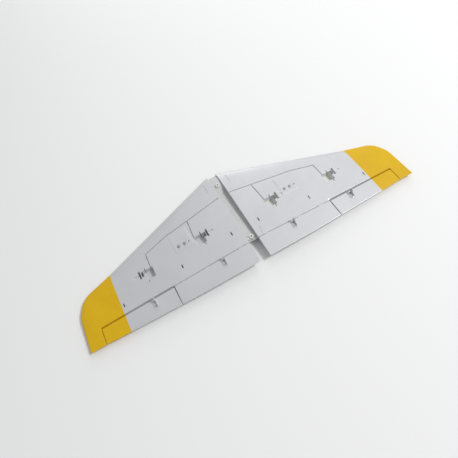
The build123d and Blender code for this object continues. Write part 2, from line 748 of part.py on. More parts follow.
with BuildPart() as right_spar_sleeve:
    with BuildSketch(Plane(origin=at(root_x + 0.2, spar_y, spar_z), x_dir=(0, 1, 0), z_dir=(1, 0, 0))):
        Circle(sleeve_r)
        Circle(spar_r + 0.05, mode=Mode.SUBTRACT)
    extrude(amount=sleeve_out - root_x - 0.2)
right_spar_sleeve.part.label = "right_spar_sleeve"
export_step(right_spar_sleeve.part, "parts/right_spar_sleeve.step")

with BuildPart() as left_spar_sleeve:
    with BuildSketch(Plane(origin=at(-root_x - 0.2, spar_y, spar_z), x_dir=(0, 1, 0), z_dir=(-1, 0, 0))):
        Circle(sleeve_r)
        Circle(spar_r + 0.05, mode=Mode.SUBTRACT)
    extrude(amount=sleeve_out - root_x - 0.2)
left_spar_sleeve.part.label = "left_spar_sleeve"
export_step(left_spar_sleeve.part, "parts/left_spar_sleeve.step")

with BuildPart() as right_rear_spar_rod:
    with BuildSketch(rod_plane(rod_from, 1)):
        Circle(rod_r)
    extrude(amount=rod_to - rod_from)
right_rear_spar_rod.part.label = "right_rear_spar_rod"
export_step(right_rear_spar_rod.part, "parts/right_rear_spar_rod.step")

with BuildPart() as left_rear_spar_rod:
    with BuildSketch(rod_plane(rod_from, -1)):
        Circle(rod_r)
    extrude(amount=rod_to - rod_from)
left_rear_spar_rod.part.label = "left_rear_spar_rod"
export_step(left_rear_spar_rod.part, "parts/left_rear_spar_rod.step")


# ------------------------------------------------------------ hardpoint plates
def hardpoint_plate(side):
    with BuildSketch(Plane.XY.offset(plate_floor() + 0.02)) as flat:
        with Locations((side * sum(plate_x) / 2, sum(plate_y) / 2 - y_mid)):
            RectangleRounded(plate_x[1] - plate_x[0], plate_y[1] - plate_y[0], 2.5)
    extrude(flat.sketch, amount=30.0, mode=Mode.INTERSECT)
    for x in plate_screws(side):
        with BuildSketch(Plane.XY.offset(plate_floor() - 1.0)) as flat:
            with Locations((x, plate_row(side) - y_mid)):
                Circle(big_hole_r)
        extrude(flat.sketch, amount=20.0, mode=Mode.SUBTRACT)
        with BuildSketch(Plane.XY.offset(stud_seat(x, side))) as flat:
            with Locations((x, plate_row(side) - y_mid)):
                Circle(screw_head_r + 0.3)
        extrude(flat.sketch, amount=20.0, mode=Mode.SUBTRACT)
    with BuildSketch(Plane.XY.offset(plate_floor() - 1.0)) as flat:
        with Locations((plate_small_hole(side), plate_row(side) - y_mid)):
            Circle(small_hole_r)
    extrude(flat.sketch, amount=20.0, mode=Mode.SUBTRACT)


def hardpoint_screws(side):
    for x in plate_screws(side):
        head_z = stud_seat(x, side)
        with BuildSketch(Plane.XY.offset(head_z)) as flat:
            with Locations((x, plate_row(side) - y_mid)):
                Circle(screw_head_r)
        extrude(flat.sketch, amount=screw_head_h)
        with BuildSketch(Plane.XY.offset(head_z + screw_head_h - 1.4)) as flat:
            with Locations((x, plate_row(side) - y_mid)):
                RegularPolygon(1.25, 6)
        extrude(flat.sketch, amount=5.0, mode=Mode.SUBTRACT)
        with BuildSketch(Plane.XY.offset(head_z + 0.2)) as flat:
            with Locations((x, plate_row(side) - y_mid)):
                Circle(screw_r)
        extrude(flat.sketch, amount=-screw_len)


with BuildPart() as right_hardpoint_plate:
    add(right_blank.part)
    hardpoint_plate(1)
right_hardpoint_plate.part.label = "right_hardpoint_plate"
export_step(right_hardpoint_plate.part, "parts/right_hardpoint_plate.step")

with BuildPart() as left_hardpoint_plate:
    add(left_blank.part)
    hardpoint_plate(-1)
left_hardpoint_plate.part.label = "left_hardpoint_plate"
export_step(left_hardpoint_plate.part, "parts/left_hardpoint_plate.step")

with BuildPart() as right_hardpoint_screws:
    hardpoint_screws(1)
right_hardpoint_screws.part.label = "right_hardpoint_screws"
export_step(right_hardpoint_screws.part, "parts/right_hardpoint_screws.step")

with BuildPart() as left_hardpoint_screws:
    hardpoint_screws(-1)
left_hardpoint_screws.part.label = "left_hardpoint_screws"
export_step(left_hardpoint_screws.part, "parts/left_hardpoint_screws.step")

# ------------------------------------------------------ numbers for the joints
for name, point_at, a, b in (("flap", flap_axis_point, root_x, flap_end),
                             ("aileron", aileron_axis_point, aileron_in, aileron_out)):
    for side in (1, -1):
        p, q = point_at(side * a), point_at(side * b)
        print(name, side, tuple(round(v, 4) for v in p), tuple(round(v, 4) for v in q))
for name in horn_at:
    f = horn_frame(name)
    print("horn", name, tuple(round(v, 4) for v in f.origin), "y", tuple(round(v, 5) for v in f.y_dir),
          "z", tuple(round(v, 5) for v in f.z_dir))
for x, y in ((76.4, 105.6), (217.4, 94.7)):
    print("pocket", x, y - y_mid, "skin", round(skin(x, y, 1), 3), "floor", round(skin(x, y, 1) - pocket_depth, 3))
print("bolt sleeves", [(y - y_mid, round(skin(root_x, y, -1) + 1.2, 3), round(skin(root_x, y, 1) - 0.4, 3))
                       for y in (bolt_front_y, bolt_rear_y)])
print("plate floor", round(plate_floor(), 3))
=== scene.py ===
import json
import math
import bpy
import bmesh
import numpy as np
from mathutils import Matrix, Vector
from mathutils.geometry import delaunay_2d_cdt


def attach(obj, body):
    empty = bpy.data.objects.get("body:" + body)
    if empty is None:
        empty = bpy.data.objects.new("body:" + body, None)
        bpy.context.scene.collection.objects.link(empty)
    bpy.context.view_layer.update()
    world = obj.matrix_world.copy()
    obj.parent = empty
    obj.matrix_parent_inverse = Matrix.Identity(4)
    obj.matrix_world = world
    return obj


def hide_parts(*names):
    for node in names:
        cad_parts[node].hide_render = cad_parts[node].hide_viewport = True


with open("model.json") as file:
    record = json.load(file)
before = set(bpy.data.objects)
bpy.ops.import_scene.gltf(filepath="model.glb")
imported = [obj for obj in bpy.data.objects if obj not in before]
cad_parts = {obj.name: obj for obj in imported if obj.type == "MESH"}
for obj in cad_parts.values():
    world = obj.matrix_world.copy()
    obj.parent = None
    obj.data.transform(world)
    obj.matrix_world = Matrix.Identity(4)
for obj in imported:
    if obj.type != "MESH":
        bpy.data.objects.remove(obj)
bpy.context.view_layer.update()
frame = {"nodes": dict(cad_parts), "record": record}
nodes = frame["nodes"]
scene = bpy.context.scene

# ---------------------------------------------------------------------------
# Section and planform of the half wings, in millimetres.  Plan positions are
# (distance from the centreline, distance in front of the root trailing edge).
# ---------------------------------------------------------------------------
Y_MID = 120.65
STATIONS = np.array([
    (11.0, 242.1, -0.8, 1.0), (120.0, 202.3, 0.0, 1.0), (292.0, 139.4, 6.0, 1.0),
    (320.0, 130.8, 7.4, 1.0), (343.0, 123.7, 8.7, 0.99), (353.0, 119.0, 8.6, 0.94),
    (361.4, 112.0, 8.4, 0.86), (368.5, 101.0, 8.2, 0.70), (373.2, 87.6, 8.1, 0.46),
    (375.0, 73.0, 8.0, 0.24)])
TIP, LEVEL_X, ROOT = 375.0, 343.0, 11.0
THICK, CAMBER, CAMBER_AT, TE_HALF = 0.11, 0.02, 0.4, 0.8
HINGE_IN, HINGE_OUT = (11.0, 45.3), (343.0, 41.8)
FLAP_END, AIL_IN, AIL_OUT, TIP_BLOCK = 183.6, 185.4, 342.2, 343.4
STEP_X = (FLAP_END + AIL_IN) / 2
GAP = 0.3
TAN_AIL, TAN_FLAP = math.tan(math.radians(14.0)), math.tan(math.radians(22.0))
FLAP_AXIS = ((11.0, 20.0323), (183.6, 14.7662))
AIL_AXIS = ((185.4, 8.3668), (342.2, 5.4448))
FLAP_HINGES, AIL_HINGES = (32.0, 110.0, 163.0), (205.0, 264.0, 323.0)
EDGE_R = 0.55
EDGES = {"flap": 0.30, "aileron": 0.70}
TIP_CLOSE = 2.6


def section(xc):
    xc = np.clip(xc, 0.0, 1.0)
    half = 5 * THICK * (0.2969 * np.sqrt(xc) - 0.1260 * xc - 0.3516 * xc ** 2
                        + 0.2843 * xc ** 3 - 0.1036 * xc ** 4)
    front = CAMBER / CAMBER_AT ** 2 * (2 * CAMBER_AT * xc - xc ** 2)
    back = CAMBER / (1 - CAMBER_AT) ** 2 * ((1 - 2 * CAMBER_AT) + 2 * CAMBER_AT * xc - xc ** 2)
    return np.where(xc < CAMBER_AT, front, back), half


def crest_of(row):
    xc = np.linspace(0, 1, 401)
    line, half = section(xc)
    return float(np.max((line + half) * (row[1] - row[2]) * row[3] + TE_HALF * xc))


CREST = np.array([crest_of(r) for r in STATIONS])
_tip = STATIONS[STATIONS[:, 0] >= LEVEL_X]
_v = np.sqrt((TIP - _tip[:, 0]) / (TIP - LEVEL_X))
_w = np.array([10, 1, 1, 1, 1, 4.0])
LE_TIP = np.polyfit(_v, _tip[:, 1], 3, w=_w)
TS_TIP = np.polyfit(_v, _tip[:, 3], 3, w=_w)


def le_raw(x):
    v = np.sqrt(np.clip((TIP - x) / (TIP - LEVEL_X), 0, None))
    return np.where(x > LEVEL_X, np.polyval(LE_TIP, v), np.interp(x, STATIONS[:5, 0], STATIONS[:5, 1]))


def ts_raw(x):
    v = np.sqrt(np.clip((TIP - x) / (TIP - LEVEL_X), 0, None))
    return np.where(x > LEVEL_X, np.polyval(TS_TIP, v), np.interp(x, STATIONS[:5, 0], STATIONS[:5, 3]))


def te_raw(x):
    return np.interp(x, STATIONS[:, 0], STATIONS[:, 2])


def cz_raw(x):
    return np.interp(np.minimum(x, LEVEL_X), STATIONS[:5, 0], CREST[:5])


def smoothed(f, x, reach):
    """f averaged over a window that shrinks to nothing at the root and at the tip."""
    x = np.asarray(x, float)
    w = np.clip(np.minimum(reach, np.minimum(x - ROOT, TIP - x)), 0, None)
    total = 0
    for k in np.linspace(-1, 1, 9):
        total = total + f(x + k * w)
    return total / 9


XS = np.unique(np.concatenate([np.linspace(ROOT, LEVEL_X, 665), TIP - 32 * np.linspace(0, 1, 260) ** 2]))
_le, _te, _ts, _cz = (smoothed(f, XS, r) for f, r in ((le_raw, 8), (te_raw, 14), (ts_raw, 6), (cz_raw, 16)))


def values(x):
    x = np.clip(x, ROOT, TIP)
    return np.interp(x, XS, _le), np.interp(x, XS, _te), np.interp(x, XS, _ts), np.interp(x, XS, _cz)


def middle_and_half(x, y, round_te=True):
    """Height of the section's middle line and its half thickness, both in mm."""
    x, y = np.asarray(x, float), np.asarray(y, float)
    le, te, ts, cz = values(x)
    chord = le - te
    xc = (le - y) / chord
    line, half = section(xc)
    h = half * chord * ts + TE_HALF * np.clip(xc, 0, 1)
    s = np.clip((TIP - x) / TIP_CLOSE, 0, 1)
    h = h * np.sqrt(np.clip(1 - (1 - s) ** 2, 0, 1))
    if round_te:
        s = np.clip((y - te) / 0.9, 0, 1)
        h = h * np.sqrt(np.clip(1 - (1 - s) ** 2, 0, 1))
        h = np.where(y - te < 3e-3, 0.0, h)
    h = np.where((le - y < 3e-3) | (TIP - x < 3e-3), 0.0, h)
    return cz - line * chord * ts, h


def hinge_y(x):
    return HINGE_IN[1] + (HINGE_OUT[1] - HINGE_IN[1]) * (x - HINGE_IN[0]) / (HINGE_OUT[0] - HINGE_IN[0])


def axis_z(x, kind):
    a, b = FLAP_AXIS if kind == "flap" else AIL_AXIS
    return a[1] + (b[1] - a[1]) * (x - a[0]) / (b[0] - a[0])


def profile(x, kind, way, side_z, z):
    """Plan y of the hinge face at height z: way 1 is the wing's face, -1 the moving surface's."""
    d = z - axis_z(x, kind)
    if kind == "aileron":
        return hinge_y(x) + way * (GAP + np.abs(d) * TAN_AIL)
    return hinge_y(x) + way * (GAP + np.clip(d, 0, None) * TAN_FLAP)


def edge_y(x, kind, way, side):
    """Plan y of the edge between the hinge face and one skin, found by iteration."""
    y = hinge_y(x) + way * GAP
    for _ in range(6):
        mid, h = middle_and_half(x, y)
        y = profile(x, kind, way, side, mid + side * (h - EDGES[kind]))
    return y


# ------------------------------------------------------------ plan distances
def sd_rect(x, y, x0, x1, y0, y1, r=0.0):
    qx = np.abs(x - (x0 + x1) / 2) - ((x1 - x0) / 2 - r)
    qy = np.abs(y - (y0 + y1) / 2) - ((y1 - y0) / 2 - r)
    return np.hypot(np.maximum(qx, 0), np.maximum(qy, 0)) + np.minimum(np.maximum(qx, qy), 0) - r


def sd_path(x, y, points, half):
    best = np.full(np.shape(x), 1e9)
    for (ax, ay), (bx, by) in zip(points, points[1:]):
        dx, dy = bx - ax, by - ay
        t = np.clip(((x - ax) * dx + (y - ay) * dy) / (dx * dx + dy * dy), 0, 1)
        best = np.minimum(best, np.hypot(x - ax - t * dx, y - ay - t * dy))
    return best - half


def smooth_min(a, b, k):
    h = np.clip(0.5 + 0.5 * (b - a) / k, 0, 1)
    return b + (a - b) * h - k * h * (1 - h)


class Cut:
    """A pocket or groove in the underside: a plan shape, a floor, and how round its rim and foot are."""

    def __init__(self, name, sd, box, depth=None, floor=None, rim=0.5, foot=0.6, draft=0.35, cell=0.35,
                 step=2.2, raw=True, outside=0.45):
        self.name, self.sd, self.box, self.depth, self.floor = name, sd, box, depth, floor
        self.rim, self.foot, self.draft, self.cell, self.step, self.raw = rim, foot, draft, cell, step, raw
        a = np.radians([0, 30, 60, 90])
        rings = list(rim * np.sin(a)) + [rim + draft]
        rings += [rim + draft + foot * (1 - math.cos(math.radians(b))) for b in (35, 65, 90)]
        self.rings = [-outside] + rings

    def lowered(self, x, y, skin):
        """How far this cut lowers the skin at plan points."""
        t = -self.sd(x, y)
        deep = np.maximum(skin - self.floor, 0.05) if self.floor is not None else np.full(np.shape(x), self.depth)
        rim = np.minimum(self.rim, deep * 0.5)
        foot = np.minimum(self.foot, deep * 0.5)
        out = np.zeros(np.shape(x))
        k = np.clip(t / self.rim, 0, 1)
        out = np.where(t > 0, rim * (1 - np.sqrt(1 - k ** 2)), out)
        w = np.clip((t - self.rim) / self.draft, 0, 1)
        out = np.where(t >= self.rim, rim + (deep - rim - foot) * w, out)
        s = np.clip((t - self.rim - self.draft) / self.foot, 0, 1)
        out = np.where(t >= self.rim + self.draft, deep - foot + foot * np.sqrt(1 - (1 - s) ** 2), out)
        return out


def contour_lines(f, box, cell, level):
    """Polylines where f equals level, by marching squares."""
    x0, x1, y0, y1 = box
    nx, ny = int((x1 - x0) / cell) + 2, int((y1 - y0) / cell) + 2
    gx, gy = x0 + cell * np.arange(nx), y0 + cell * np.arange(ny)
    v = f(gx[:, None] + 0 * gy[None, :], 0 * gx[:, None] + gy[None, :]) - level
    v = np.where(v == 0, 1e-9, v)
    s = v > 0
    points, links = {}, {}

    def cross(i, j, k, l):
        key = (i, j, k, l)
        if key not in points:
            a, b = v[i, j], v[k, l]
            t = a / (a - b)
            points[key] = (gx[i] + (gx[k] - gx[i]) * t, gy[j] + (gy[l] - gy[j]) * t)
            links[key] = []
        return key

    mixed = ((s[:-1, :-1] != s[1:, :-1]) | (s[:-1, :-1] != s[:-1, 1:]) | (s[:-1, :-1] != s[1:, 1:]))
    for i, j in zip(*np.nonzero(mixed)):
        found = []
        if s[i, j] != s[i + 1, j]:
            found.append(cross(i, j, i + 1, j))
        if s[i + 1, j] != s[i + 1, j + 1]:
            found.append(cross(i + 1, j, i + 1, j + 1))
        if s[i, j + 1] != s[i + 1, j + 1]:
            found.append(cross(i, j + 1, i + 1, j + 1))
        if s[i, j] != s[i, j + 1]:
            found.append(cross(i, j, i, j + 1))
        pairs = [(0, 1), (2, 3)] if len(found) == 4 else [(0, 1)]
        for a, b in pairs:
            links[found[a]].append(found[b])
            links[found[b]].append(found[a])
    lines, used = [], set()
    starts = [k for k in links if len(links[k]) == 1] + list(links)
    for k in starts:
        if k in used:
            continue
        run, here, closed = [k], k, False
        used.add(k)
        while True:
            on = [m for m in links[here] if m not in used]
            if not on:
                closed = len(run) > 2 and run[0] in links[here]
                break
            here = on[0]
            used.add(here)
            run.append(here)
        if len(run) > 2:
            lines.append((np.array([points[m] for m in run]), closed))
    return lines


def thin_out(line, tol):
    """Douglas-Peucker on an open run of points."""
    keep = np.zeros(len(line), bool)
    keep[0] = keep[-1] = True
    todo = [(0, len(line) - 1)]
    while todo:
        a, b = todo.pop()
        if b - a < 2:
            continue
        p, q = line[a], line[b]
        d = q - p
        n = math.hypot(*d)
        r = line[a + 1:b] - p
        dist = np.abs(r[:, 0] * d[1] - r[:, 1] * d[0]) / n if n > 1e-9 else np.hypot(r[:, 0], r[:, 1])
        k = int(np.argmax(dist))
        if dist[k] > tol:
            k += a + 1
            keep[k] = True
            todo += [(a, k), (k, b)]
    return line[keep]


def resampled(line, closed, tol, step):
    if closed:
        line = np.vstack([line, line[:1]])
        far = int(np.argmax(np.hypot(*(line - line[0]).T)))
        line = np.vstack([thin_out(line[:far + 1], tol)[:-1], thin_out(line[far:], tol)])
    else:
        line = thin_out(line, tol)
    out = []
    for p, q in zip(line, line[1:]):
        n = max(1, int(math.ceil(math.hypot(*(q - p)) / step)))
        out += [p + (q - p) * k / n for k in range(n)]
    out.append(line[-1])
    out = np.array(out)
    return (out[:-1], True) if closed else (out, False)


class Plan:
    """Points and edges of one skin in plan, to be triangulated."""

    def __init__(self):
        self.points, self.edges, self.loops = [], [], []

    def line(self, pts, closed=False, as_edges=True):
        base = len(self.points)
        self.points += [tuple(map(float, p)) for p in pts]
        n = len(pts)
        if as_edges:
            self.edges += [(base + i, base + i + 1) for i in range(n - 1)]
            if closed:
                self.edges.append((base + n - 1, base))

    def dots(self, pts):
        self.points += [tuple(map(float, p)) for p in pts]

    def made(self, outline, holes=()):
        """Vertices and triangles inside the outline and outside the holes."""
        self.line(outline, closed=True)
        for h in holes:
            self.line(h, closed=True)
        got = delaunay_2d_cdt([Vector(p) for p in self.points], self.edges, [], 0, 1e-5, False)
        co = np.array([tuple(p) for p in got[0]])
        tris = np.array([f for f in got[2] if len(f) == 3])
        centre = co[tris].mean(1)
        keep = inside(centre, np.array(outline))
        for h in holes:
            keep &= ~inside(centre, np.array(h))
        area = np.cross(co[tris[:, 1]] - co[tris[:, 0]], co[tris[:, 2]] - co[tris[:, 0]])
        keep &= np.abs(area) > 1e-9
        return co, tris[keep]


def inside(p, poly):
    c = np.zeros(len(p), bool)
    q = np.roll(poly, -1, 0)
    for (x0, y0), (x1, y1) in zip(poly, q):
        if y0 == y1:
            continue
        hit = ((y0 > p[:, 1]) != (y1 > p[:, 1]))
        xx = x0 + (x1 - x0) * (p[:, 1] - y0) / (y1 - y0)
        c ^= hit & (p[:, 0] < xx)
    return c


class Solid:
    """Gathers vertices and faces in mm, then becomes one welded mesh."""

    def __init__(self):
        self.co, self.raw, self.faces, self.n = [], [], [], 0

    def add(self, co, faces, raw=0.0):
        co = np.asarray(co, float)
        self.co.append(co)
        self.raw.append(np.full(len(co), raw, float) if np.isscalar(raw) else np.asarray(raw, float))
        self.faces += [tuple(int(i) + self.n for i in f) for f in faces]
        self.n += len(co)

    def grid(self, rows, raw=0.0):
        """rows[i][j] -> point; quads between neighbours."""
        rows = np.asarray(rows, float)
        a, b = rows.shape[:2]
        faces = [(i * b + j, i * b + j + 1, (i + 1) * b + j + 1, (i + 1) * b + j)
                 for i in range(a - 1) for j in range(b - 1)]
        self.add(rows.reshape(-1, 3), faces, raw)

    def mesh(self, name, side, sharp=38.0):
        co = np.vstack(self.co)
        raw = np.concatenate(self.raw)
        bm = bmesh.new()
        layer = bm.verts.layers.float.new("raw")
        made = []
        for p, r in zip(co, raw):
            v = bm.verts.new((side * p[0] / 1000, (p[1] - Y_MID) / 1000, p[2] / 1000))
            v[layer] = r
            made.append(v)
        for f in self.faces:
            try:
                bm.faces.new([made[i] for i in f])
            except ValueError:
                pass
        bmesh.ops.remove_doubles(bm, verts=bm.verts, dist=4e-6)
        bmesh.ops.dissolve_degenerate(bm, edges=bm.edges, dist=1e-6)
        bmesh.ops.delete(bm, geom=[v for v in bm.verts if not v.link_faces], context="VERTS")
        bmesh.ops.holes_fill(bm, edges=[e for e in bm.edges if e.is_boundary], sides=8)
        bmesh.ops.recalc_face_normals(bm, faces=bm.faces)
        loose = sum(1 for e in bm.edges if len(e.link_faces) != 2)
        me = bpy.data.meshes.new(name)
        bm.to_mesh(me)
        bm.free()
        me.shade_smooth()
        me.set_sharp_from_angle(angle=math.radians(sharp))
        ob = bpy.data.objects.new(name, me)
        scene.collection.objects.link(ob)
        print("mesh", name, "verts", len(me.vertices), "faces", len(me.polygons), "open edges", loose)
        return ob


# ------------------------------------------------------------- panel features
def servo_pocket(body_x, centre_y, outward):
    """Pocket shape of a servo on its side, and the groove beyond its arm slot."""
    d = outward
    length, high, hump_h, hump_w, arm_w, arm_len = 23.4, 22.8, 5.2, 12.4, 5.2, 19.0
    axis_y = centre_y + length / 2 - hump_w / 2
    spans = [(0.0, high, centre_y - length / 2, centre_y + length / 2, 0.9),
             (15.6, 18.6, centre_y - 17.1, centre_y + 17.1, 0.7),
             (high - 1.0, high + hump_h, axis_y - hump_w / 2, axis_y + hump_w / 2, 0.7),
             (high + hump_h - 0.2, high + hump_h + arm_w, axis_y + 1 - arm_len / 2, axis_y + 1 + arm_len / 2, 0.8)]
    rects = []
    for a, b, y0, y1, r in spans:
        xa, xb = sorted((body_x + d * a, body_x + d * b))
        rects.append((xa, xb, y0, y1, r))

    def sd(x, y):
        out = None
        for r in rects:
            s = sd_rect(x, y, r[0], r[1], r[2], r[3], r[4])
            out = s if out is None else np.minimum(out, s)
        return out

    start = body_x + d * (high + hump_h + arm_w - 1.0)
    ends = [(start + d * 2.3, axis_y), (start + d * 10.7, axis_y)]

    def sd_groove(x, y):
        return sd_path(x, y, ends, 2.3)

    mid_x = body_x + d * high / 2
    mid, h = middle_and_half(mid_x, centre_y)
    floor = float(mid + h) - 12.5
    lo = min(r[0] for r in rects) - 3, min(r[2] for r in rects) - 3
    hi = max(r[1] for r in rects) + 3, max(r[3] for r in rects) + 3
    gx = sorted((ends[0][0] - d * 5, ends[1][0] + d * 5))
    pocket = Cut("pocket", sd, (lo[0], hi[0], lo[1], hi[1]), floor=floor, rim=0.7, foot=0.9, draft=0.35)
    groove = Cut("groove", sd_groove, (gx[0], gx[1], axis_y - 5, axis_y + 5), depth=2.2,
                 rim=0.5, foot=0.7, draft=0.3, step=1.6)
    return [pocket, groove]


CHANNEL = [(9.0, 173.8), (63.0, 165.8), (100.0, 160.2), (138.5, 154.6), (152.2, 153.4), (181.0, 145.6),
           (208.7, 137.8), (210.0, 106.5)]
BRANCH = {1: [(63.2, 165.8), (67.5, 116.5)], -1: [(99.6, 160.2), (104.2, 116.5)]}
POCKETS = {1: [(65.0, 105.6, 1), (206.0, 94.7, 1)], -1: [(105.5, 105.6, -1), (206.0, 94.7, 1)]}
ROD_A, ROD_B = (32.3, 81.5, 13.5), (287.2, 60.8, 7.8)
WINDOWS = ((32.3, 81.5), (152.0, 72.0), (287.2, 60.8))
PLATE_X, PLATE_Y = (108.5, 152.0), (103.0, 152.2)


def panel_cuts(side):
    cuts = []
    for p in POCKETS[side]:
        cuts += servo_pocket(*p)

    main = CHANNEL if side > 0 else [(15.5, 172.9)] + CHANNEL[1:]

    def sd_channel(x, y):
        return np.minimum(sd_path(x, y, main, 1.2), sd_path(x, y, BRANCH[side], 1.2))

    cuts.append(Cut("channel", sd_channel, (6.0, 214.0, 103.0, 178.0), depth=3.6, rim=0.3, foot=0.45,
                    draft=0.2, cell=0.4, step=3.0, outside=0.4))
    for wx, wy in WINDOWS:
        rod_z = ROD_A[2] + (ROD_B[2] - ROD_A[2]) * (wx - ROD_A[0]) / (ROD_B[0] - ROD_A[0])
        ends = [(wx, wy - 3.2), (wx, wy + 3.2)]
        cuts.append(Cut("window", lambda x, y, e=ends: sd_path(x, y, e, 1.6), (wx - 3, wx + 3, wy - 6.2, wy + 6.2),
                        floor=rod_z - 2.1, rim=0.35, foot=0.4, draft=0.2, cell=0.2, step=1.2, outside=0.35))
    floor = plate_floor()
    cuts.append(Cut("plate", lambda x, y: sd_rect(x, y, PLATE_X[0] - 0.12, PLATE_X[1] + 0.12, PLATE_Y[0] - 0.12,
                                                  PLATE_Y[1] + 0.12, 2.62),
                    (PLATE_X[0] - 2, PLATE_X[1] + 2, PLATE_Y[0] - 2, PLATE_Y[1] + 2), floor=floor, rim=0.1,
                    foot=0.3, draft=0.2, cell=0.4, step=3.5, outside=0.2, raw=False))
    lines = [[(28.0, 197.5), (28.2, 222.5)]]
    if side > 0:
        lines.append([(25.8, 66.5), (22.6, 48.2)])
    for pts in lines:
        xs, ys = [p[0] for p in pts], [p[1] for p in pts]
        cuts.append(Cut("line", lambda x, y, e=pts: sd_path(x, y, e, 0.5),
                        (min(xs) - 1.5, max(xs) + 1.5, min(ys) - 1.5, max(ys) + 1.5), depth=0.8, rim=0.2, foot=0.15,
                        draft=0.06, cell=0.12, step=3.0, outside=0.25, raw=False))
    return cuts


def plate_floor():
    low = 1e9
    for x in PLATE_X:
        for y in PLATE_Y:
            mid, h = middle_and_half(x, y)
            low = min(low, float(mid + h))
    return low - 2.4


def chain(co, tris, test, by):
    """Used vertices that pass a test, in order."""
    used = np.unique(tris)
    pick = [i for i in used if test(co[i])]
    return sorted(pick, key=lambda i: by(co[i]))


def offset_path(path, d):
    """The path moved to its right by d, in plan."""
    t = np.gradient(path, axis=0)
    t /= np.hypot(t[:, 0], t[:, 1])[:, None]
    return path + np.stack([t[:, 1], -t[:, 0]], 1) * d


def hinge_columns(xs, kind, way, hinges, top_z, low_z):
    """Columns of points down the hinge face at each x, with a round seat at each hinge barrel."""
    tan = TAN_AIL if kind == "aileron" else TAN_FLAP
    seat = 1.6
    ds = np.array([1.6, 1.0, 0.45, 0.0, -0.45, -1.0, -1.6])
    cols = []

    def column(x, notch):
        az, hy = axis_z(x, kind), hinge_y(x)
        room, below = top_z(x) - az, az - low_z(x)
        pts = [(x, profile(x, kind, way, 1, top_z(x)), top_z(x))]
        zm = az + (room + min(1.6, 0.86 * room)) / 2
        pts.append((x, profile(x, kind, way, 1, zm), zm))
        if notch:
            up = next(d for d in np.arange(1.6, 0, -0.01) if math.hypot(d, GAP + d * tan) <= seat)
            low_tan = tan if kind == "aileron" else 0.0
            dn = next(d for d in np.arange(1.6, 0, -0.01) if math.hypot(d, GAP + d * low_tan) <= seat)
            a0 = math.atan2(up, GAP + up * tan)
            a1 = -math.atan2(dn, GAP + dn * low_tan)
            for k in range(7):
                a = a0 + (a1 - a0) * k / 6
                pts.append((x, hy + way * seat * math.cos(a), az + seat * math.sin(a)))
        else:
            for d in ds:
                d = min(d, 0.86 * room * d / 1.6) if d > 0 and room * 0.86 < 1.6 else d
                d = -min(-d, 0.86 * below * -d / 1.6) if d < 0 and below * 0.86 < 1.6 else d
                lap = 0.5 if kind == "flap" and way > 0 and d < -0.1 else 0.0
                pts.append((x, profile(x, kind, way, 1, az + d) - lap, az + d))
        zm = az - (below + min(1.6, 0.86 * below)) / 2
        pts.append((x, profile(x, kind, way, -1, zm), zm))
        pts.append((x, profile(x, kind, way, -1, low_z(x)), low_z(x)))
        return pts

    for x in xs:
        zone = [h for h in hinges if h - 6.4001 <= x <= h + 6.4001]
        if zone and abs(abs(x - zone[0]) - 6.4) < 1e-3:
            first = x < zone[0]
            cols.append(column(x, not first))
            cols.append(column(x, first))
        else:
            cols.append(column(x, bool(zone)))
    return cols


def x_samples(a, b, hinges, step=4.0):
    marks = [a, b] + [h + s for h in hinges for s in (-6.4, 6.4)]
    marks = sorted(m for m in marks if a - 1e-6 <= m <= b + 1e-6)
    out = []
    for p, q in zip(marks, marks[1:]):
        n = max(1, int(math.ceil((q - p) / step)))
        out += [p + (q - p) * k / n for k in range(n)]
    return np.array(out + [marks[-1]])


def edge_drop(t, h, r=EDGE_R):
    """How far a rounded edge lowers the skin at distance t from it."""
    k = np.clip((r - t) / r, 0, 1)
    return r * (1 - np.sqrt(np.clip(1 - k ** 2, 0, 1))) * np.clip(h / 2.0, 0, 1)


NOSE = [0.03, 0.12, 0.3, 0.6, 1.0, 1.6, 2.5, 4.0, 6.0, 9.0, 13.0]
TE_STRIPS = [0.03, 0.12, 0.3, 0.55, 0.9, 1.8]
ROUND = [0.1, 0.3, 0.55, 0.9]
MARGIN = 1.6


def lattice(x0, x1, y0, y1, step):
    pts = []
    row = 0
    y = y0
    while y <= y1:
        x = x0 + (0.5 * step if row % 2 else 0)
        while x <= x1:
            pts.append((x, y))
            x += step
        y += step * 0.866
        row += 1
    return np.array(pts)


